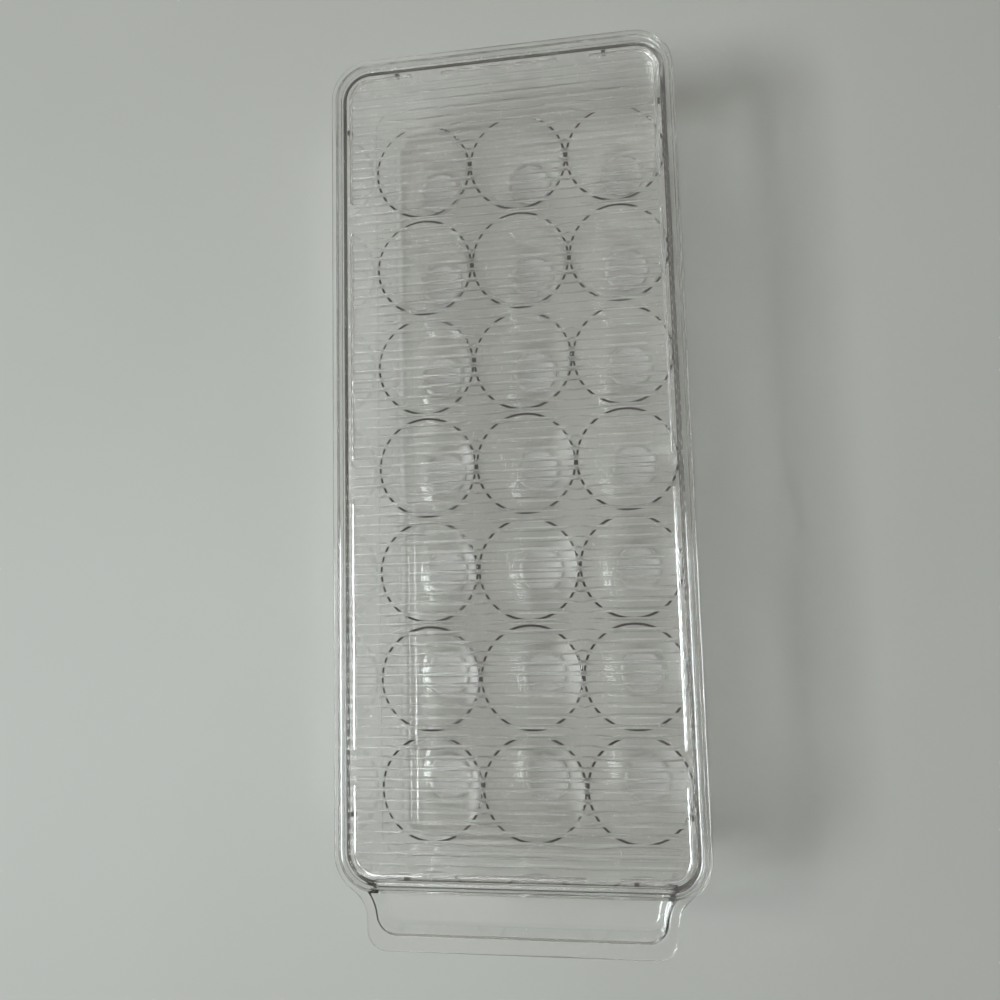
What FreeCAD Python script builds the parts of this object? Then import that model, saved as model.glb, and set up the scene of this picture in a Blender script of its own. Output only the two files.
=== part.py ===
import FreeCAD, Part
import math
import os

# A clear fridge bin for eggs: an outer bin with a moulded pull handle, a tray of egg cups that stands
# inside it, and a ribbed lid that drops into a step inside the rim.
# Millimetres. The origin is the middle of the underside; the handle points along -Y and +Z is up.

# Bin: overall size and rim
rim_width = 146.8
rim_length = 344.2
bin_height = 76.0
rim_corner_radius = 16.5
flange_width = 3.2
flange_thickness = 1.8
flange_edge_bevel = 0.5
seat_depth = 4.0
seat_width = 2.6
wall = 1.8
band_wall = 1.5
floor = 2.2
wall_draft = 1.5
floor_inner_round = 3.0
base_edge_round = 4.0
foot_ring_width = 7.0
foot_ring_height = 0.6
foot_corner_radius = 3.0

# Handle: a flat lip around a shallow finger trough, flush with the rim
handle_reach = 19.5
handle_side_inset = 13.4
handle_neck_radius = 13.0
handle_corner_radius = 8.0
handle_side_lip = 4.8
handle_front_lip = 6.9
trough_corner_radius = 7.0
trough_depth = 10.0
trough_draft = 13.0
trough_floor_round = 2.0
trough_wall = 1.6

# Egg tray: a thin deck with cups in rows and columns
cup_radius = 21.3
cup_web_across = 1.4
cup_web_along = 2.8
cup_edge_margin = 0.8
cup_grid_shift = -1.4
cup_depth = 31.3
cup_floor_radius = 8.0
cup_flats = 32
tray_wall = 1.2
tray_gap = 0.35

# Lid: a flat plate with ribs across its underside, a broken skirt and locating nubs
lid_thickness = 2.0
lid_side_gap = 0.4
lid_edge_bevel = 0.5
skirt_setback = 1.4
skirt_thickness = 1.0
skirt_height = 3.0
skirt_edge_bevel = 0.35
skirt_gap_length = 13.4
skirt_gap_side_inset = 34.2
skirt_gap_front_inset = 40.9
skirt_gap_pitch = 113.5
nub_width = 1.8
nub_gap = 0.35
nub_lift = 0.6
nub_side_inset = 21.4
nub_end_inset = 23.3
rib_pitch = 4.0
rib_width = 2.0
rib_height = 0.25
rib_flats = 4
rib_end_gap = 0.6

# Levels and half sizes worked out from the dimensions above
seat_level = bin_height - seat_depth
flange_underside = bin_height - flange_thickness
deck_level = floor + tray_wall + cup_depth
rim_half_width = rim_width / 2
rim_half_length = rim_length / 2
mouth_half_width = rim_half_width - flange_width
mouth_half_length = rim_half_length - flange_width
mouth_radius = rim_corner_radius - flange_width
throat_half_width = mouth_half_width - seat_width
throat_half_length = mouth_half_length - seat_width
throat_radius = mouth_radius - seat_width
skirt_half_width = throat_half_width - skirt_setback
skirt_half_length = throat_half_length - skirt_setback
skirt_radius = throat_radius - skirt_setback
handle_half_width = rim_half_width - handle_side_inset
cup_pitch_across = 2 * cup_radius + cup_web_across
cup_pitch_along = 2 * cup_radius + cup_web_along
wall_slope = math.tan(math.radians(wall_draft))
up = FreeCAD.Vector(0, 0, 1)


def point(x, y, z):
    return FreeCAD.Vector(x, y, z)


def line(start, end):
    return Part.LineSegment(start, end).toShape()


def arc(center, radius, start_angle, end_angle):
    circle = Part.Circle(center, up, radius)
    return Part.Arc(circle, math.radians(start_angle), math.radians(end_angle)).toShape()


def rounded_rectangle(half_width, half_length, radius, level):
    x = half_width - radius
    y = half_length - radius
    edges = [
        line(point(half_width, -y, level), point(half_width, y, level)),
        arc(point(x, y, level), radius, 0, 90),
        line(point(x, half_length, level), point(-x, half_length, level)),
        arc(point(-x, y, level), radius, 90, 180),
        line(point(-half_width, y, level), point(-half_width, -y, level)),
        arc(point(-x, -y, level), radius, 180, 270),
        line(point(-x, -half_length, level), point(x, -half_length, level)),
        arc(point(x, -y, level), radius, 270, 360),
    ]
    return Part.Wire(edges)


def plate(outline, thickness):
    return Part.Face(outline).extrude(up * thickness)


def box(low, high):
    size = high - low
    return Part.makeBox(size.x, size.y, size.z, low)


def edges_at_level(shape, level):
    found = []
    for edge in shape.Edges:
        bounds = edge.BoundBox
        if abs(bounds.ZMin - level) < 1e-4 and abs(bounds.ZMax - level) < 1e-4:
            found.append(edge)
    return found


def wall_outline(level, outset):
    # The walls lean in evenly all round, so every level is an offset of the throat
    offset = outset - (seat_level - level) * wall_slope
    return rounded_rectangle(
        throat_half_width + offset, throat_half_length + offset, throat_radius + offset, level
    )


# Bin

def handle_front():
    return -rim_half_length - handle_reach


def neck_angle():
    corner_x = rim_half_width - rim_corner_radius
    span = handle_half_width + handle_neck_radius - corner_x
    return math.degrees(math.acos(span / (rim_corner_radius + handle_neck_radius)))


def neck_centre(side, level):
    reach = (rim_corner_radius + handle_neck_radius) * math.sin(math.radians(neck_angle()))
    y = -rim_half_length + rim_corner_radius - reach
    return point(side * (handle_half_width + handle_neck_radius), y, level)


def flange_outline(level):
    turn = neck_angle()
    corner_x = rim_half_width - rim_corner_radius
    corner_y = rim_half_length - rim_corner_radius
    right_neck = neck_centre(1, level)
    left_neck = neck_centre(-1, level)
    front = handle_front()
    tip_x = handle_half_width - handle_corner_radius
    tip_y = front + handle_corner_radius
    edges = [
        line(point(rim_half_width, -corner_y, level), point(rim_half_width, corner_y, level)),
        arc(point(corner_x, corner_y, level), rim_corner_radius, 0, 90),
        line(point(corner_x, rim_half_length, level), point(-corner_x, rim_half_length, level)),
        arc(point(-corner_x, corner_y, level), rim_corner_radius, 90, 180),
        line(point(-rim_half_width, corner_y, level), point(-rim_half_width, -corner_y, level)),
        arc(point(-corner_x, -corner_y, level), rim_corner_radius, 180, 180 + turn),
        arc(left_neck, handle_neck_radius, 0, turn),
        line(point(-handle_half_width, left_neck.y, level), point(-handle_half_width, tip_y, level)),
        arc(point(-tip_x, tip_y, level), handle_corner_radius, 180, 270),
        line(point(-tip_x, front, level), point(tip_x, front, level)),
        arc(point(tip_x, tip_y, level), handle_corner_radius, 270, 360),
        line(point(handle_half_width, tip_y, level), point(handle_half_width, right_neck.y, level)),
        arc(right_neck, handle_neck_radius, 180 - turn, 180),
        arc(point(corner_x, -corner_y, level), rim_corner_radius, 360 - turn, 360),
    ]
    return Part.Wire(edges)


def trough_outline(level, inset, back):
    # Each corner arc touches the front line and the neck arc, so the outline runs on without a kink
    neck = neck_centre(1, level)
    left_neck = neck_centre(-1, level)
    neck_radius = handle_neck_radius + handle_side_lip + inset
    corner = trough_corner_radius - inset
    front = handle_front() + handle_front_lip + inset
    corner_y = front + corner
    turn = math.degrees(math.asin((corner_y - neck.y) / (neck_radius + corner)))
    corner_x = neck.x - (neck_radius + corner) * math.cos(math.radians(turn))
    meet = math.degrees(math.asin((back - neck.y) / neck_radius))
    meet_x = neck.x - neck_radius * math.cos(math.radians(meet))
    edges = [
        line(point(meet_x, back, level), point(-meet_x, back, level)),
        arc(left_neck, neck_radius, turn, meet),
        arc(point(-corner_x, corner_y, level), corner, 180 + turn, 270),
        line(point(-corner_x, front, level), point(corner_x, front, level)),
        arc(point(corner_x, corner_y, level), corner, 270, 360 - turn),
        arc(neck, neck_radius, 180 - meet, 180 - turn),
    ]
    return Part.Wire(edges)


def make_trough(thickness, back):
    depth = trough_depth + thickness
    inset = depth * math.tan(math.radians(trough_draft)) - thickness
    top = trough_outline(bin_height, -thickness, back)
    bottom = trough_outline(bin_height - depth, inset, back)
    trough = Part.makeLoft([bottom, top], True, True)
    low_edges = edges_at_level(trough, bin_height - depth)
    floor_edges = [edge for edge in low_edges if edge.BoundBox.YMin < back - 1e-4]
    return trough.makeFillet(trough_floor_round + thickness, floor_edges)


def make_bin():
    band_bottom = seat_level - band_wall
    band = rounded_rectangle(
        mouth_half_width + band_wall, mouth_half_length + band_wall, mouth_radius + band_wall, band_bottom
    )
    shell = Part.makeLoft([wall_outline(0, wall), wall_outline(seat_level, wall)], True, True)
    shell = shell.makeFillet(base_edge_round, edges_at_level(shell, 0))
    flange = plate(flange_outline(flange_underside), flange_thickness)
    flange_edges = edges_at_level(flange, flange_underside) + edges_at_level(flange, bin_height)
    flange = flange.makeChamfer(flange_edge_bevel, flange_edges)
    wall_face = -mouth_half_length - band_wall
    trough_body = make_trough(trough_wall, -throat_half_length)
    trough_body = trough_body.common(plate(flange_outline(0), bin_height - flange_edge_bevel))
    body = shell.fuse([plate(band, bin_height - flange_edge_bevel - band_bottom), flange, trough_body])

    cavity = Part.makeLoft([wall_outline(floor, 0), wall_outline(seat_level, 0)], True, True)
    cavity = cavity.makeFillet(floor_inner_round, edges_at_level(cavity, floor))
    mouth_outline = rounded_rectangle(mouth_half_width, mouth_half_length, mouth_radius, seat_level)
    mouth = plate(mouth_outline, seat_depth)
    foot_inset = seat_level * wall_slope - wall + foot_ring_width
    foot_outline = rounded_rectangle(
        throat_half_width - foot_inset, throat_half_length - foot_inset, foot_corner_radius, 0
    )
    foot_recess = plate(foot_outline, foot_ring_height)
    body = body.cut([cavity, mouth, make_trough(0, wall_face), foot_recess])
    return body.removeSplitter()


# Egg tray

def ring(radius, level):
    turn = 2 * math.pi / cup_flats
    return [point(radius * math.cos(i * turn), radius * math.sin(i * turn), level) for i in range(cup_flats)]


def flat_face(corners):
    return Part.Face(Part.makePolygon(corners + corners[:1]))


def cup_form(outset, top):
    # A straight taper in narrow flats down to a flat floor; the outside is the inside offset by the wall
    lean = math.atan2(cup_radius - cup_floor_radius, cup_depth)
    spread = outset / math.cos(lean)
    bottom = deck_level - cup_depth - outset
    low_ring = ring(cup_radius + spread - (deck_level - bottom) * math.tan(lean), bottom)
    high_ring = ring(cup_radius + spread - (deck_level - top) * math.tan(lean), top)
    faces = [flat_face(low_ring), flat_face(high_ring)]
    for i in range(cup_flats):
        faces.append(flat_face([low_ring[i - 1], low_ring[i], high_ring[i], high_ring[i - 1]]))
    return Part.Solid(Part.Shell(faces))


def cup_places(room, pitch):
    # As many cups in a line as the deck has room for, evenly spaced about its middle
    count = int((room - 2 * cup_radius - 2 * cup_edge_margin) / pitch) + 1
    return [(index - (count - 1) / 2) * pitch for index in range(count)]


def cup_centres():
    bounds = wall_outline(deck_level - tray_wall, -tray_gap).BoundBox
    columns = cup_places(bounds.XLength, cup_pitch_across)
    rows = cup_places(bounds.YLength - 2 * abs(cup_grid_shift), cup_pitch_along)
    return [point(x, y + cup_grid_shift, 0) for y in rows for x in columns]


def make_egg_tray():
    underside = deck_level - tray_wall
    deck = plate(wall_outline(underside, -tray_gap), tray_wall)
    outside = cup_form(tray_wall, underside)
    inside = cup_form(0, deck_level)
    cups = [outside.translated(centre) for centre in cup_centres()]
    hollows = [inside.translated(centre) for centre in cup_centres()]
    return deck.fuse(cups).cut(hollows).removeSplitter()


# Lid

def rib_section(start_x):
    # A round bead in a few flats, with a root that reaches up into the plate
    bead_radius = (rib_height ** 2 + (rib_width / 2) ** 2) / (2 * rib_height)
    half_angle = math.asin(rib_width / 2 / bead_radius)
    root = seat_level + lid_thickness / 2
    corners = [point(start_x, -rib_width / 2, root)]
    for step in range(rib_flats + 1):
        angle = half_angle * (2 * step / rib_flats - 1)
        drop = bead_radius * (math.cos(angle) - math.cos(half_angle))
        corners.append(point(start_x, bead_radius * math.sin(angle), seat_level - drop))
    corners.append(point(start_x, rib_width / 2, root))
    return flat_face(corners)


def make_ribs():
    # Beads across the underside, trimmed to end just inside the skirt that frames them
    inset = skirt_thickness + rib_end_gap
    half_width = skirt_half_width - inset
    half_length = skirt_half_length - inset
    low = seat_level - rib_height
    rib = rib_section(-half_width).extrude(point(2 * half_width, 0, 0))
    count = int(half_length / rib_pitch)
    ribs = [rib.translated(point(0, index * rib_pitch, 0)) for index in range(-count, count + 1)]
    frame_outline = rounded_rectangle(half_width, half_length, skirt_radius - inset, low)
    return Part.makeCompound(ribs).common(plate(frame_outline, rib_height + lid_thickness))


def make_skirt():
    low = seat_level - skirt_height
    inner_outline = rounded_rectangle(
        skirt_half_width - skirt_thickness,
        skirt_half_length - skirt_thickness,
        skirt_radius - skirt_thickness,
        low,
    )
    outer = plate(rounded_rectangle(skirt_half_width, skirt_half_length, skirt_radius, low), skirt_height)
    ring = outer.cut(plate(inner_outline, skirt_height))
    ring = ring.makeChamfer(skirt_edge_bevel, edges_at_level(ring, low))
    half_gap = skirt_gap_length / 2
    gaps = []
    for side in (-1, 1):
        across = side * (skirt_half_width - skirt_gap_side_inset)
        gap_start = point(across - half_gap, -rim_length, low)
        gaps.append(box(gap_start, point(across + half_gap, rim_length, seat_level)))
    along = -skirt_half_length + skirt_gap_front_inset
    while along < skirt_half_length - skirt_gap_front_inset:
        gap_start = point(-rim_width, along - half_gap, low)
        gaps.append(box(gap_start, point(rim_width, along + half_gap, seat_level)))
        along += skirt_gap_pitch
    return ring.cut(gaps)


def make_nubs():
    # Small blocks on the outside of the skirt that centre the lid in the bin
    low = seat_level - skirt_height + nub_lift
    half_nub = nub_width / 2
    root = skirt_thickness / 2
    reach = skirt_setback - nub_gap
    side_nub_tip = point(skirt_half_width + reach, half_nub, seat_level)
    side_nub = box(point(skirt_half_width - root, -half_nub, low), side_nub_tip)
    end_nub_tip = point(half_nub, skirt_half_length + reach, seat_level)
    end_nub = box(point(-half_nub, skirt_half_length - root, low), end_nub_tip)
    along = skirt_half_length - nub_end_inset
    across = skirt_half_width - nub_side_inset
    half_turn = (point(0, 0, 0), up, 180)
    nubs = []
    for direction in (-1, 1):
        for nub in (
            side_nub.translated(point(0, direction * along, 0)),
            end_nub.translated(point(direction * across, 0, 0)),
        ):
            nubs.append(nub)
            nubs.append(nub.rotated(*half_turn))
    return nubs


def make_lid():
    top_plate = plate(
        rounded_rectangle(
            mouth_half_width - lid_side_gap,
            mouth_half_length - lid_side_gap,
            mouth_radius - lid_side_gap,
            seat_level,
        ),
        lid_thickness,
    )
    outer_edges = edges_at_level(top_plate, seat_level + lid_thickness)
    top_plate = top_plate.makeChamfer(lid_edge_bevel, outer_edges)
    return top_plate.fuse([make_skirt(), make_ribs()] + make_nubs()).removeSplitter()


os.makedirs("parts", exist_ok=True)
make_bin().exportStep("parts/bin.step")
make_egg_tray().exportStep("parts/egg_tray.step")
make_lid().exportStep("parts/lid.step")
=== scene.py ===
# %% [markdown]
# # A clear fridge bin for eggs
# The real thing is three clear plastic mouldings: a tapered bin with a pull handle, a tray of round cups
# that stands inside it, and a ribbed lid that lies in a step inside the rim. This lesson loads the packed
# model, models the tray's smooth cups, gives every piece its clear plastic, and lights it on a pale floor.

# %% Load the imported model
import math

import bmesh
import bpy
from mathutils import Matrix, Vector


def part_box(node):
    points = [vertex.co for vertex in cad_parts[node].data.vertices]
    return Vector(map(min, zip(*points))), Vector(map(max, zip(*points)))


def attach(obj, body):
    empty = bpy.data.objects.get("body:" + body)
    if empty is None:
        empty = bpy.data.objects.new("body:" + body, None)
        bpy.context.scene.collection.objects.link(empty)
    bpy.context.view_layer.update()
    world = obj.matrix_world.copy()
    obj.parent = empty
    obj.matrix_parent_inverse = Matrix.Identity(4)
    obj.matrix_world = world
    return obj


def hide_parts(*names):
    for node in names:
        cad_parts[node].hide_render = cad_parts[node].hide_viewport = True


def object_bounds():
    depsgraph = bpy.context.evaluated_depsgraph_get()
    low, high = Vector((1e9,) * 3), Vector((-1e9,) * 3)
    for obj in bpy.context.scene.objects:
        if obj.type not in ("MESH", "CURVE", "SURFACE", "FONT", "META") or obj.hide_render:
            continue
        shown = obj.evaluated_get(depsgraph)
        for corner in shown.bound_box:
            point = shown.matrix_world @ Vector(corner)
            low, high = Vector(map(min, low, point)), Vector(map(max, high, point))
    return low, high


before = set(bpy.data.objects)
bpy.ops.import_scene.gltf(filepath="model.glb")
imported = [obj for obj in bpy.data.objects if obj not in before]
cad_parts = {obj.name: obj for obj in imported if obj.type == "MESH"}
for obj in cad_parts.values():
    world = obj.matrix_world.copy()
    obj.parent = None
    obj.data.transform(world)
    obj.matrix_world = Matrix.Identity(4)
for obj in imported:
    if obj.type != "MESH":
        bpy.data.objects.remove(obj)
cad_low, cad_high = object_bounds()
mm = 0.001

# %% [markdown]
# ## Smooth moulded faces on the bin and the lid
# The bin and the lid keep their own solids. A solid comes as flat facets with knife-sharp edges, and clear
# plastic shows both because it bends light. They could be modelled again as smooth meshes, but modifiers on
# the solids keep every size as it is. A small geometry node group welds the facets' shared corners, marks an
# edge as sharp only where the faces meet at a real corner, and weighs the edges that get a mould radius.

# %% One function for every node


def add_node(tree, kind, settings=None, inputs=None, links=None):
    node = tree.nodes.new(kind)
    for name, value in (settings or {}).items():
        setattr(node, name, value)
    for name, value in (inputs or {}).items():
        node.inputs[name].default_value = value
    for name, source in (links or {}).items():
        tree.links.new(source, node.inputs[name])
    return node


print("nodes are added by", add_node.__name__)

# %% Find the real corners and weigh the edges to round
real_corner = math.radians(19)
square_corner = math.radians(40)
weld_distance = 0.002 * mm


def edge_weight(tree, round_zones):
    place = add_node(tree, "GeometryNodeInputPosition")
    height = add_node(tree, "ShaderNodeSeparateXYZ", links={"Vector": place.outputs["Position"]}).outputs["Z"]
    weight = add_node(tree, "ShaderNodeValue").outputs["Value"]
    weight.default_value = 0.0
    for low, high, radius_share in round_zones:
        inside = add_node(tree, "ShaderNodeMath", {"operation": "COMPARE"},
                          {1: (low + high) / 2, 2: (high - low) / 2}, {0: height})
        added = add_node(tree, "ShaderNodeMath", {"operation": "MULTIPLY_ADD"}, {1: radius_share},
                         {0: inside.outputs["Value"], 2: weight})
        weight = added.outputs["Value"]
    return weight


def moulded_shading(round_zones):
    tree = bpy.data.node_groups.new("moulded_shading", "GeometryNodeTree")
    tree.interface.new_socket("Geometry", in_out="INPUT", socket_type="NodeSocketGeometry")
    tree.interface.new_socket("Geometry", in_out="OUTPUT", socket_type="NodeSocketGeometry")
    facets = add_node(tree, "NodeGroupInput")
    plain = add_node(tree, "GeometryNodeRemoveAttribute", inputs={"Name": "custom_normal"},
                     links={"Geometry": facets.outputs["Geometry"]})
    welded = add_node(tree, "GeometryNodeMergeByDistance", inputs={"Distance": weld_distance},
                      links={"Geometry": plain.outputs["Geometry"]})
    smooth = add_node(tree, "GeometryNodeSetShadeSmooth", {"domain": "FACE"}, {"Shade Smooth": True},
                      {"Geometry": welded.outputs["Geometry"]})
    bend = add_node(tree, "GeometryNodeInputMeshEdgeAngle").outputs["Unsigned Angle"]
    corner = add_node(tree, "FunctionNodeCompare", {"operation": "GREATER_THAN"}, {"B": real_corner},
                      {"A": bend})
    edged = add_node(tree, "GeometryNodeSetShadeSmooth", {"domain": "EDGE"}, {"Shade Smooth": False},
                     {"Geometry": smooth.outputs["Geometry"], "Selection": corner.outputs["Result"]})
    square = add_node(tree, "FunctionNodeCompare", {"operation": "GREATER_THAN"}, {"B": square_corner},
                      {"A": bend})
    weighed = add_node(tree, "GeometryNodeStoreNamedAttribute", {"domain": "EDGE", "data_type": "FLOAT"},
                       {"Name": "bevel_weight_edge"}, {
        "Geometry": edged.outputs["Geometry"],
        "Selection": square.outputs["Result"],
        "Value": edge_weight(tree, round_zones),
    })
    add_node(tree, "NodeGroupOutput", links={"Geometry": weighed.outputs["Geometry"]})
    return tree


print("faces that meet at over", round(math.degrees(real_corner)), "degrees keep their edge")

# %% [markdown]
# ## Mould radii and a hair of air
# No edge of a real moulding is quite sharp. A radius of a few tenths of a millimetre is enough to catch a
# thin white line of light, and a bevel on the weighed edges makes it. Two real mouldings that touch still
# have air between them, so each skin is drawn in by a hair: clear faces that lie exactly on each other would
# render as dark patches. Weighted normals then keep the large flats flat beside the rounds.

# %% Dress the solids of the bin and the lid in modifiers
air_gap = 0.02 * mm
radius_steps = 4


def round_edges(piece, radius):
    rounds = piece.modifiers.new("mould_radius", "BEVEL")
    rounds.width = radius
    rounds.segments = radius_steps
    rounds.limit_method = "WEIGHT"
    rounds.edge_weight = "bevel_weight_edge"
    rounds.use_clamp_overlap = False
    rounds.miter_outer = "MITER_ARC"


def flat_faces_lead(piece):
    weighted = piece.modifiers.new("flat_faces_lead", "WEIGHTED_NORMAL")
    weighted.mode = "FACE_AREA"
    weighted.weight = 100
    weighted.keep_sharp = True


def smooth_faces(piece, round_zones, edge_radius):
    piece.modifiers.new("moulded_shading", "NODES").node_group = moulded_shading(round_zones)
    round_edges(piece, edge_radius)
    skin = piece.modifiers.new("air_between_mouldings", "DISPLACE")
    skin.mid_level = 0
    skin.strength = -air_gap
    flat_faces_lead(piece)
    print(piece.name, "has edges rounded to", round(edge_radius / mm, 2), "mm")


# %% Round the bin, more at its rim than at its base
bin_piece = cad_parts["bin"]
bin_low, bin_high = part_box("bin")
bin_edge_radius = 0.3 * mm
rim_zone_depth = 16 * mm
zone_margin = 1 * mm
base_share = 0.5
rim_zone_low = bin_high.z - rim_zone_depth
base_zone = (bin_low.z - zone_margin, rim_zone_low, base_share)
rim_zone = (rim_zone_low, bin_high.z + zone_margin, 1.0)
smooth_faces(bin_piece, [base_zone, rim_zone], bin_edge_radius)

# %% Round the lid's upper edge and the lower edge of its skirt
lid_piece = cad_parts["lid"]
lid_low, lid_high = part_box("lid")
lid_edge_radius = 0.2 * mm
skirt_edge_height = 0.45 * mm
top_edge_depth = 0.8 * mm
skirt_zone = (lid_low.z - zone_margin, lid_low.z + skirt_edge_height, 1.0)
top_zone = (lid_high.z - top_edge_depth, lid_high.z + zone_margin, 1.0)
smooth_faces(lid_piece, [skirt_zone, top_zone], lid_edge_radius)

# %% [markdown]
# ## The egg tray's cups
# Each cup is a tapered bowl with a rounded lip, a rounded bottom corner and a flat floor, and all cups hang
# from one thin deck. A lathe profile fits such a cup: the section is drawn once as points from lip to floor
# and turned about the cup's axis. The wall bellies out a little on its way down, to suit an egg. The tray
# stands a hair above the bin's floor, because air lies between these mouldings too.

# %% The cup's sizes
tray_low, tray_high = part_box("egg_tray")
tray_stand_off = 3 * air_gap
tray_low.z += tray_stand_off
cup_radius = 21.3 * mm
cup_floor_radius = 9.3 * mm
cup_floor_thickness = 1.2 * mm
cup_wall = 1.0 * mm
cup_belly = 0.9 * mm
lip_round = 0.9 * mm
floor_round = 2.0 * mm
deck_top = tray_high.z
cup_floor = tray_low.z + cup_floor_thickness
cup_lean = math.atan2(cup_radius - cup_floor_radius, deck_top - cup_floor)
round_angle = math.pi / 2 - cup_lean
print("cup is", round((deck_top - cup_floor) / mm, 1), "mm deep, wall leans", round(math.degrees(cup_lean)))

# %% The cup's section, inside and outside
lip_steps = 6
wall_steps = 12
round_steps = 6


def wall_radius(level):
    share = (deck_top - level) / (deck_top - cup_floor)
    straight = cup_radius + (cup_floor_radius - cup_radius) * share
    return straight + cup_belly * math.sin(math.pi * share)


def bottom_round(radius, level, outset):
    center = cup_floor_radius + outset - radius * math.tan(round_angle / 2)
    points = []
    for step in range(round_steps + 1):
        angle = round_angle * (1 - step / round_steps)
        points.append((center + radius * math.sin(angle), level + radius * (1 - math.cos(angle))))
    return points


def cup_inside():
    lip_start = cup_radius + lip_round * math.tan(round_angle / 2)
    points = []
    for step in range(lip_steps + 1):
        angle = round_angle * step / lip_steps
        level = deck_top - lip_round * (1 - math.cos(angle))
        points.append((lip_start - lip_round * math.sin(angle), level))
    lip_end = points[-1][1]
    corner = bottom_round(floor_round, cup_floor, 0)
    for step in range(1, wall_steps):
        level = lip_end + (corner[0][1] - lip_end) * step / wall_steps
        points.append((wall_radius(level), level))
    return points + corner


def cup_outside():
    outset = cup_wall / math.cos(cup_lean)
    corner = bottom_round(floor_round + cup_wall, tray_low.z, outset - cup_wall * math.tan(cup_lean))
    top = deck_top - cup_wall
    points = []
    for step in range(wall_steps):
        level = top + (corner[0][1] - top) * step / wall_steps
        points.append((wall_radius(level) + outset, level))
    return points + corner


print("cup section points", len(cup_inside()), "inside,", len(cup_outside()), "outside")

# %% Places of the cups and the outline of the deck
cup_columns = 3
cup_rows = 7
web_across = 1.4 * mm
web_along = 2.8 * mm
cup_pitch_across = 2 * cup_radius + web_across
cup_pitch_along = 2 * cup_radius + web_along
cup_grid_shift = -1.4 * mm
deck_corner_radius = 9.3 * mm
deck_corner_steps = 8


def cup_centres():
    centres = []
    for row in range(cup_rows):
        for column in range(cup_columns):
            x = (column - (cup_columns - 1) / 2) * cup_pitch_across
            y = (row - (cup_rows - 1) / 2) * cup_pitch_along + cup_grid_shift
            centres.append((x, y))
    return centres


def deck_outline(level):
    low, high, radius = tray_low, tray_high, deck_corner_radius
    points = []
    corners = ((high.x, high.y, 0), (low.x, high.y, 1), (low.x, low.y, 2), (high.x, low.y, 3))
    for corner_x, corner_y, quarter in corners:
        center_x = corner_x - math.copysign(radius, corner_x)
        center_y = corner_y - math.copysign(radius, corner_y)
        for step in range(deck_corner_steps + 1):
            angle = math.pi / 2 * (quarter + step / deck_corner_steps)
            points.append((center_x + radius * math.cos(angle), center_y + radius * math.sin(angle), level))
    return points


print("cups", len(cup_centres()), "at", round(cup_pitch_across / mm, 1), "by", round(cup_pitch_along / mm, 1))

# %% [markdown]
# ## One closed skin for the tray
# The tray could be one sheet with a thickness modifier, but then its inside and outside corners couldn't
# have radii of their own. Here the upper and the lower skin are each made from turned cups, with the deck
# filled in between their lips, and the two are joined along the deck's edge. So light crosses a real wall.

# %% Turn the cups and fill the deck between them
cup_segments = 64


def turned_rings(mesh, centre, section):
    rings = []
    for radius, level in section:
        ring = []
        for step in range(cup_segments):
            angle = 2 * math.pi * step / cup_segments
            x = centre[0] + radius * math.cos(angle)
            y = centre[1] + radius * math.sin(angle)
            ring.append(mesh.verts.new((x, y, level)))
        rings.append(ring)
    return rings


def skin_rings(mesh, rings, facing_up):
    for upper, lower in zip(rings, rings[1:]):
        for i in range(cup_segments):
            corners = [upper[i - 1], upper[i], lower[i], lower[i - 1]]
            mesh.faces.new(corners if facing_up else corners[::-1])
    floor_face = rings[-1]
    mesh.faces.new(floor_face if facing_up else floor_face[::-1])


def fill_deck(mesh, outer_loop, lips):
    edges = []
    for loop in [outer_loop] + lips:
        for i in range(len(loop)):
            known = mesh.edges.get((loop[i - 1], loop[i]))
            edges.append(known or mesh.edges.new((loop[i - 1], loop[i])))
    bmesh.ops.triangle_fill(mesh, edges=edges, use_beauty=True, use_dissolve=False)


def tray_skin(mesh, level, section, facing_up):
    outer_loop = [mesh.verts.new(place) for place in deck_outline(level)]
    lips = []
    for centre in cup_centres():
        rings = turned_rings(mesh, centre, section)
        skin_rings(mesh, rings, facing_up)
        lips.append(rings[0])
    fill_deck(mesh, outer_loop, lips)
    return outer_loop


print("each cup has", cup_segments, "sides")

# %% Join the two skins into the tray
tray_corner = 2 * real_corner


def tray_mesh():
    mesh = bmesh.new()
    upper = tray_skin(mesh, deck_top, cup_inside(), True)
    lower = tray_skin(mesh, deck_top - cup_wall, cup_outside(), False)
    for i in range(len(upper)):
        mesh.faces.new([upper[i - 1], upper[i], lower[i], lower[i - 1]])
    bmesh.ops.dissolve_degenerate(mesh, dist=weld_distance, edges=mesh.edges)
    bmesh.ops.recalc_face_normals(mesh, faces=mesh.faces)
    data = bpy.data.meshes.new("egg_tray_moulding")
    mesh.to_mesh(data)
    mesh.free()
    data.shade_smooth()
    data.set_sharp_from_angle(angle=tray_corner)
    return data


tray_piece = bpy.data.objects.new("egg_tray_moulding", tray_mesh())
bpy.context.scene.collection.objects.link(tray_piece)
flat_faces_lead(tray_piece)
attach(tray_piece, "egg_tray")
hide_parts("egg_tray")
print("tray faces", len(tray_piece.data.polygons))

# %% [markdown]
# ## Clear PET from a polished mould
# Such bins are clear PET, injection moulded in a polished mould. It bends light by an index of about 1.57 and
# mirrors a few per cent of it, so the eye sees edges and rims as dark and bright lines, and stacked walls as
# a slight grey. A thin shell without refraction would render faster, but would lose those lines. A polished
# moulding is never perfectly flat: flow and shrinkage leave a long shallow waviness, and handling leaves a
# faint haze. Both are noise patterns, sized in real millimetres.

# %% Colours and empty materials


def linear(hex_colour):
    parts = [int(hex_colour[i:i + 2], 16) / 255 for i in (1, 3, 5)]
    curved = [p / 12.92 if p <= 0.04045 else ((p + 0.055) / 1.055) ** 2.4 for p in parts]
    return (*curved, 1.0)


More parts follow.
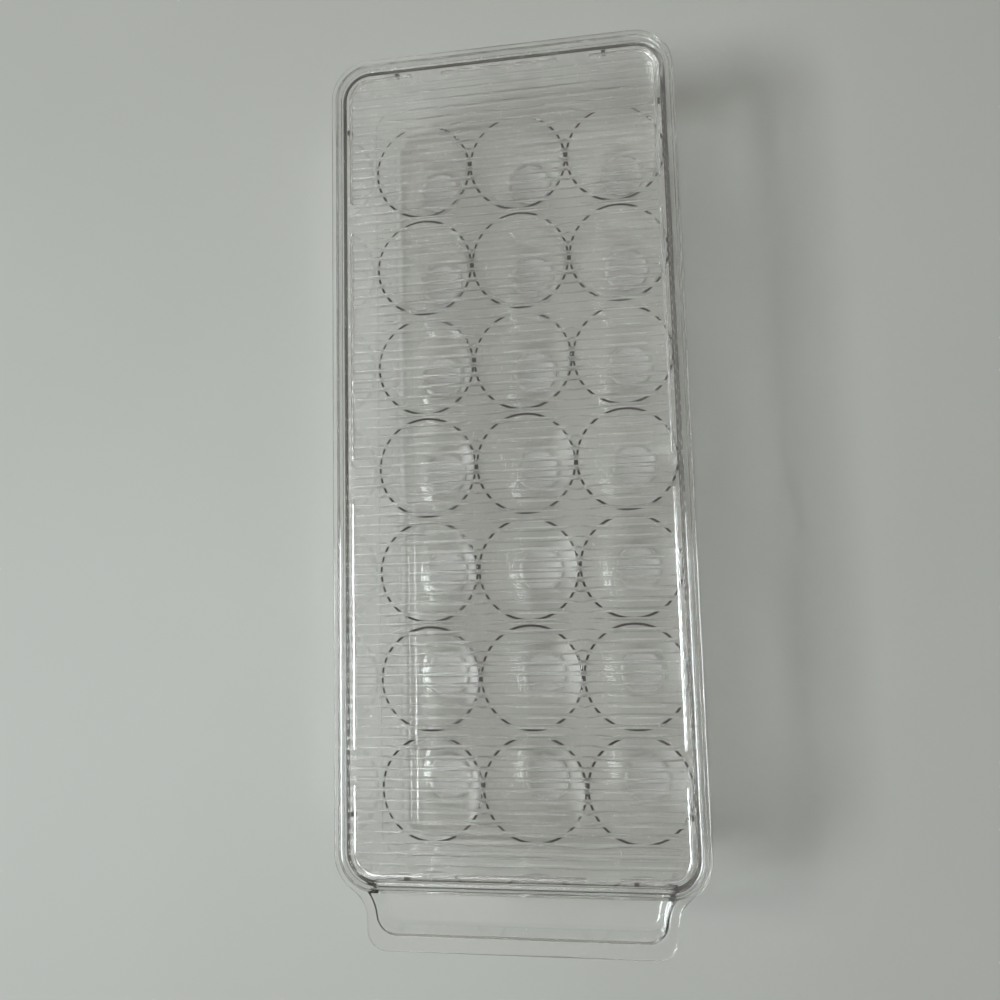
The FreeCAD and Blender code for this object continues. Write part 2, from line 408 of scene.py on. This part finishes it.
def new_material(name):
    material = bpy.data.materials.new(name)
    material.use_nodes = True
    material.node_tree.nodes.clear()
    return material


def per_metre(size_mm):
    return 1 / (size_mm * mm)


print("mid grey is", round(linear("#808080")[0], 3))

# %% The clear plastic that all three mouldings share
pet_index = 1.57
clear_tint = "#FEFEFE"
dull_tint = "#FBFBFA"
tint_patch_mm = 38
smear_mm = 9
smear_starts = 0.35
smear_full = 0.75
# A thick wall looks grey because the plastic keeps a little of the light on each millimetre of its way
absorbed_share = "#D3D3D2"


def clear_pet(name, absorption, wave_mm, wave_height_mm, haze_low, haze_high):
    material = new_material(name)
    tree = material.node_tree
    place = add_node(tree, "ShaderNodeTexCoord").outputs["Object"]
    cloud = add_node(tree, "ShaderNodeTexNoise", inputs={"Scale": per_metre(tint_patch_mm), "Detail": 3.0},
                     links={"Vector": place})
    tint = add_node(tree, "ShaderNodeMix", {"data_type": "RGBA"},
                    {"A": linear(clear_tint), "B": linear(dull_tint)}, {"Factor": cloud.outputs["Fac"]})
    smear = add_node(tree, "ShaderNodeTexNoise", inputs={"Scale": per_metre(smear_mm), "Detail": 5.0},
                     links={"Vector": place})
    haze = add_node(tree, "ShaderNodeMapRange", inputs={
        "From Min": smear_starts, "From Max": smear_full, "To Min": haze_low, "To Max": haze_high,
    }, links={"Value": smear.outputs["Fac"]})
    wave = add_node(tree, "ShaderNodeTexNoise", inputs={"Scale": per_metre(wave_mm), "Detail": 1.0},
                    links={"Vector": place})
    bump = add_node(tree, "ShaderNodeBump", inputs={"Strength": 1.0, "Distance": wave_height_mm * mm},
                    links={"Height": wave.outputs["Fac"]})
    shader = add_node(tree, "ShaderNodeBsdfPrincipled", inputs={
        "IOR": pet_index, "Transmission Weight": 1.0,
    }, links={
        "Base Color": tint.outputs["Result"],
        "Roughness": haze.outputs["Result"],
        "Normal": bump.outputs["Normal"],
    })
    body = add_node(tree, "ShaderNodeVolumeAbsorption", inputs={
        "Color": linear(absorbed_share), "Density": absorption,
    })
    add_node(tree, "ShaderNodeOutputMaterial", links={
        "Surface": shader.outputs["BSDF"], "Volume": body.outputs["Volume"],
    })
    return material, shader, place


def dress(piece, material):
    piece.data.materials.clear()
    piece.data.materials.append(material)
    print(piece.name, "wears", material.name)


# %% The bin's polished walls
# Long slow waves on the large walls bend what lies behind them a little, and there is hardly any haze
bin_pet, bin_shader, bin_place = clear_pet(
    "polished_clear_pet_bin", absorption=10, wave_mm=26, wave_height_mm=0.03, haze_low=0.01, haze_high=0.04
)
dress(bin_piece, bin_pet)

# %% [markdown]
# ## The lid's ribs and nubs
# The fine ribs under the lid look satin beside the clear flats between them, and break up the lines below
# into dashes. The eight small nubs that centre the lid look almost black from above, and that dark is painted
# shade: their base colour is painted near black. They could be separate pieces with materials of their own,
# but the real lid is one moulding, so one material follows its shape: a mask picks the ribs by their spacing,
# and another picks the nubs by their places.

# %% Where the ribs are
rib_pitch = 4.0 * mm
rib_width = 2.0 * mm
lid_thickness = 2.0 * mm
lid_underside = lid_high.z - lid_thickness
rib_root = lid_underside + air_gap


def on_ribs(tree, place):
    parts = add_node(tree, "ShaderNodeSeparateXYZ", links={"Vector": place})
    off_middle = add_node(tree, "ShaderNodeMath", {"operation": "PINGPONG"}, {1: rib_pitch / 2},
                          {0: parts.outputs["Y"]})
    in_width = add_node(tree, "ShaderNodeMath", {"operation": "LESS_THAN"}, {1: rib_width / 2},
                        {0: off_middle.outputs["Value"]})
    below = add_node(tree, "ShaderNodeMath", {"operation": "LESS_THAN"}, {1: rib_root},
                     {0: parts.outputs["Z"]})
    mask = add_node(tree, "ShaderNodeMath", {"operation": "MULTIPLY"}, None,
                    {0: in_width.outputs["Value"], 1: below.outputs["Value"]})
    return mask.outputs["Value"]


print("ribs every", round(rib_pitch / mm, 1), "mm under", round(lid_underside / mm, 1), "mm")

# %% Where the nubs are
nub_setback = 3.0 * mm
nub_half_depth = 0.55 * mm
nub_half_width = 1.0 * mm
nub_half_height = 1.2 * mm
nub_drop = 1.3 * mm
side_nub_inset = 26.9 * mm
end_nub_inset = 25.0 * mm
nub_level = lid_underside - nub_drop
side_nub = Vector((lid_high.x - nub_setback, lid_high.y - side_nub_inset, nub_level))
side_nub_half = Vector((nub_half_depth, nub_half_width, nub_half_height))
end_nub = Vector((lid_high.x - end_nub_inset, lid_high.y - nub_setback, nub_level))
end_nub_half = Vector((nub_half_width, nub_half_depth, nub_half_height))


def in_nub(tree, quarter, middle, half):
    away = add_node(tree, "ShaderNodeVectorMath", {"operation": "SUBTRACT"}, {1: middle}, {0: quarter})
    off = add_node(tree, "ShaderNodeVectorMath", {"operation": "ABSOLUTE"}, None, {0: away.outputs["Vector"]})
    past = add_node(tree, "ShaderNodeVectorMath", {"operation": "SUBTRACT"}, {1: half},
                    {0: off.outputs["Vector"]})
    parts = add_node(tree, "ShaderNodeSeparateXYZ", links={"Vector": past.outputs["Vector"]})
    flat = add_node(tree, "ShaderNodeMath", {"operation": "MAXIMUM"}, None,
                    {0: parts.outputs["X"], 1: parts.outputs["Y"]})
    furthest = add_node(tree, "ShaderNodeMath", {"operation": "MAXIMUM"}, None,
                        {0: flat.outputs["Value"], 1: parts.outputs["Z"]})
    return add_node(tree, "ShaderNodeMath", {"operation": "LESS_THAN"}, {1: 0.0},
                    {0: furthest.outputs["Value"]}).outputs["Value"]


def on_nubs(tree, place):
    # The nubs lie alike in all four quarters of the lid, so two places stand for all eight
    quarter = add_node(tree, "ShaderNodeVectorMath", {"operation": "ABSOLUTE"}, None, {0: place})
    side = in_nub(tree, quarter.outputs["Vector"], side_nub, side_nub_half)
    end = in_nub(tree, quarter.outputs["Vector"], end_nub, end_nub_half)
    either = add_node(tree, "ShaderNodeMath", {"operation": "MAXIMUM"}, None, {0: side, 1: end})
    return either.outputs["Value"]


print("nubs at", [round(v / mm, 1) for v in side_nub], "and", [round(v / mm, 1) for v in end_nub])

# %% The lid's satin ribs, and painted shade on its nubs
# The satin ribs blur and streak what lies below, and each nub gets painted shade, a small dark dot beside the
# skirt
rib_roughness = 0.24
# Painted shade: the clear nubs only look near black from above, so their base colour is painted this dark
# grey
nub_painted_shade = "#3C3E3C"


def matt_where(material, shader, mask, roughness):
    tree = material.node_tree
    haze = shader.inputs["Roughness"].links[0].from_socket
    matt = add_node(tree, "ShaderNodeMix", {"data_type": "FLOAT"}, {"B": roughness},
                    {"Factor": mask, "A": haze})
    tree.links.new(matt.outputs["Result"], shader.inputs["Roughness"])


# Paints shade into the base colour wherever the mask is set
def painted_shade_where(material, shader, mask, shade):
    tree = material.node_tree
    tint = shader.inputs["Base Color"].links[0].from_socket
    dark = add_node(tree, "ShaderNodeMix", {"data_type": "RGBA"}, {"B": linear(shade)},
                    {"Factor": mask, "A": tint})
    tree.links.new(dark.outputs["Result"], shader.inputs["Base Color"])


lid_pet, lid_shader, lid_place = clear_pet(
    "satin_ribbed_clear_pet_lid", absorption=15, wave_mm=22, wave_height_mm=0.02,
    haze_low=0.015, haze_high=0.05
)
matt_where(lid_pet, lid_shader, on_ribs(lid_pet.node_tree, lid_place), rib_roughness)
painted_shade_where(lid_pet, lid_shader, on_nubs(lid_pet.node_tree, lid_place), nub_painted_shade)
dress(lid_piece, lid_pet)

# %% [markdown]
# ## The tray's frosted cup floors
# The tray is the thinnest moulding, and its plastic looks greyer and more wavy than the bin's. Each cup
# floor reads as a paler disc, as frosted plastic does: frost scatters light and throws a little of it back.
# The mask for it is simply the height, because nothing else on the tray lies as low as the cups' floors.

# %% The tray's grey walls and frosted floors
# The grey gathers along the steep walls into dark rings round the cups, and the floors shine paler
frost_starts = cup_floor + 0.5 * mm
frost_full = cup_floor + 0.05 * mm
frost_roughness = 0.3
frost_white = 0.2


def on_cup_floors(tree, place):
    parts = add_node(tree, "ShaderNodeSeparateXYZ", links={"Vector": place})
    fade = add_node(tree, "ShaderNodeMapRange", inputs={"From Min": frost_starts, "From Max": frost_full},
                    links={"Value": parts.outputs["Z"]})
    return fade.outputs["Result"]


def white_where(material, shader, mask, share):
    tree = material.node_tree
    clear = add_node(tree, "ShaderNodeMapRange", inputs={"To Min": 1.0, "To Max": 1.0 - share},
                     links={"Value": mask})
    tree.links.new(clear.outputs["Result"], shader.inputs["Transmission Weight"])


tray_pet, tray_shader, tray_place = clear_pet(
    "thin_moulded_clear_pet_tray", absorption=120, wave_mm=18, wave_height_mm=0.035,
    haze_low=0.02, haze_high=0.05
)
cup_floor_mask = on_cup_floors(tray_pet.node_tree, tray_place)
matt_where(tray_pet, tray_shader, cup_floor_mask, frost_roughness)
white_where(tray_pet, tray_shader, cup_floor_mask, frost_white)
dress(tray_piece, tray_pet)

# %% [markdown]
# ## The floor
# A floor of pale matt laminate takes the soft shadow. It is one large face, far larger than the view, so its
# edge lies near the horizon from any side. A faint cloudy mottle keeps it from being one flat colour, and it
# lies a hair below the bin so that the clear base doesn't merge with it.

# %% Lay the floor
floor_half_size = 30.0
floor_gap = 0.15 * mm
floor_level = cad_low.z - floor_gap
floor_pale = "#C3C5C0"
floor_deep = "#BDBFBA"
floor_mottle_mm = 120
laminate_roughness = 0.55


# Pressed melamine laminate: no shine, soft shadows and only a hint of cloudiness
def matt_laminate():
    material = new_material("pale_matt_laminate")
    tree = material.node_tree
    place = add_node(tree, "ShaderNodeTexCoord").outputs["Object"]
    mottle = add_node(tree, "ShaderNodeTexNoise", inputs={"Scale": per_metre(floor_mottle_mm), "Detail": 2.0},
                      links={"Vector": place})
    tint = add_node(tree, "ShaderNodeMix", {"data_type": "RGBA"},
                    {"A": linear(floor_pale), "B": linear(floor_deep)}, {"Factor": mottle.outputs["Fac"]})
    shader = add_node(tree, "ShaderNodeBsdfPrincipled", inputs={"Roughness": laminate_roughness},
                      links={"Base Color": tint.outputs["Result"]})
    add_node(tree, "ShaderNodeOutputMaterial", links={"Surface": shader.outputs["BSDF"]})
    return material


def make_floor():
    signs = ((-1, -1), (1, -1), (1, 1), (-1, 1))
    corners = [(x * floor_half_size, y * floor_half_size, floor_level) for x, y in signs]
    data = bpy.data.meshes.new("floor")
    data.from_pydata(corners, [], [(0, 1, 2, 3)])
    data.materials.append(matt_laminate())
    floor = bpy.data.objects.new("floor", data)
    bpy.context.scene.collection.objects.link(floor)
    return floor


make_floor()
print("floor at", round(floor_level / mm, 2), "mm")

# %% [markdown]
# ## Window light and a soft room
# One large lamp from the upper left stands for a window. It is small enough, seen from the bin, to draw thin
# white lines along the rounded edges, and it throws the shadow to the right. The room adds soft light that is
# brighter overhead and on the window's side, and dim at the horizon so that the shadow keeps its depth.

# %% Hang the lamp
lamp_place = Vector((-1.28, -0.3, 2.03))
lamp_size = 0.75
lamp_watts = 36.0
lamp_tint = "#F3FAFC"


def make_lamp():
    data = bpy.data.lights.new("window_lamp", "AREA")
    data.shape = "SQUARE"
    data.size = lamp_size
    data.color = linear(lamp_tint)[:3]
    data.energy = lamp_watts
    lamp = bpy.data.objects.new("window_lamp", data)
    lamp.location = lamp_place
    lamp.rotation_euler = (-lamp_place).to_track_quat("-Z", "Y").to_euler()
    bpy.context.scene.collection.objects.link(lamp)


make_lamp()
print("lamp", lamp_watts, "watts at", [round(v, 2) for v in lamp_place])

# %% [markdown]
# ## A pale backdrop for clear plastic
# What clear plastic shows is mostly what stands behind it. The room is dim at the horizon where it lights the
# floor, but the camera, and the mirror and the bending in the plastic, see a pale wall there. The light path
# tells these rays apart, so the backdrop is pale and adds no light that would wash out the shadow.

# %% Light the room
sky_tilt = Vector((-0.45, 0.05, 0.85))
sky_dim_below = 0.17
sky_full_above = 0.9
sky_strength = 0.56
sky_overhead = "#E2DCD5"
sky_horizon = "#3C3E3C"
pale_backdrop = "#CED0CD"


def horizon_colour(tree):
    path = add_node(tree, "ShaderNodeLightPath")
    through = add_node(tree, "ShaderNodeMath", {"operation": "MAXIMUM"}, None,
                       {0: path.outputs["Is Glossy Ray"], 1: path.outputs["Is Transmission Ray"]})
    seen = add_node(tree, "ShaderNodeMath", {"operation": "MAXIMUM"}, None,
                    {0: path.outputs["Is Camera Ray"], 1: through.outputs["Value"]})
    return add_node(tree, "ShaderNodeMix", {"data_type": "RGBA"},
                    {"A": linear(sky_horizon), "B": linear(pale_backdrop)},
                    {"Factor": seen.outputs["Value"]}).outputs["Result"]


def make_room():
    world = bpy.data.worlds.new("soft_room")
    bpy.context.scene.world = world
    world.use_nodes = True
    tree = world.node_tree
    tree.nodes.clear()
    ray = add_node(tree, "ShaderNodeTexCoord").outputs["Generated"]
    window_side = add_node(tree, "ShaderNodeVectorMath", {"operation": "DOT_PRODUCT"}, {1: sky_tilt},
                           {0: ray})
    overhead = add_node(tree, "ShaderNodeMapRange",
                        inputs={"From Min": sky_dim_below, "From Max": sky_full_above},
                        links={"Value": window_side.outputs["Value"]})
    tint = add_node(tree, "ShaderNodeMix", {"data_type": "RGBA"}, {"B": linear(sky_overhead)},
                    {"Factor": overhead.outputs["Result"], "A": horizon_colour(tree)})
    background = add_node(tree, "ShaderNodeBackground", inputs={"Strength": sky_strength},
                          links={"Color": tint.outputs["Result"]})
    add_node(tree, "ShaderNodeOutputWorld", links={"Surface": background.outputs["Background"]})


make_room()
print("room light", sky_strength, "with a backdrop of", pale_backdrop)

# %% [markdown]
# ## The camera
# The view looks down on the bin from a little to the right of its middle, as someone standing at a worktop
# would. Place, aim, roll and lens together give the outline of the rim, which is why they are not round
# numbers. The aim lies a little above the middle of the frame, and a lens shift puts it there without a tilt.

# %% Aim the camera
image_side = 1000
sensor_width = 36
camera_place = Vector((95.11, -54.90, 542.62)) * mm
camera_aim = Vector((-10.74, 26.92, 34.70)) * mm
camera_roll = math.radians(-1.436)
focal_pixels = 1196.4
view_centre_row = 400
camera_reach = 50


def make_camera():
    data = bpy.data.cameras.new("camera")
    data.sensor_width = sensor_width
    data.lens = sensor_width * focal_pixels / image_side
    data.shift_y = (view_centre_row - image_side / 2) / image_side
    data.clip_end = camera_reach
    camera = bpy.data.objects.new("camera", data)
    forward = (camera_aim - camera_place).normalized()
    level_right = forward.cross(Vector((0, 1, 0))).normalized()
    level_up = level_right.cross(forward)
    right = level_right * math.cos(camera_roll) + level_up * math.sin(camera_roll)
    up = right.cross(forward)
    turn = Matrix((right, up, -forward)).transposed()
    camera.matrix_world = Matrix.Translation(camera_place) @ turn.to_4x4()
    bpy.context.scene.collection.objects.link(camera)
    return camera


bpy.context.scene.camera = make_camera()
print("camera at", [round(v / mm) for v in camera_place], "mm")

# %% [markdown]
# ## Light paths through many walls
# A ray from the camera crosses the lid, the tray and the base, two faces each, before it meets the floor, and
# then the light has to come in the same way. So paths may bend many times. Blender also blurs and clamps such
# light by default to hide noise, and that leaves everything under the plastic too dark, so both are off here.

# %% Let light cross the plastic
clear_faces_crossed = 32
mirror_bounces = 16
scene = bpy.context.scene
scene.view_settings.view_transform = "Standard"
scene.cycles.max_bounces = clear_faces_crossed
scene.cycles.transmission_bounces = clear_faces_crossed
scene.cycles.glossy_bounces = mirror_bounces
scene.cycles.sample_clamp_indirect = 0.0
scene.cycles.blur_glossy = 0.0
scene.cycles.use_denoising = True
print("light may cross", clear_faces_crossed, "clear faces")
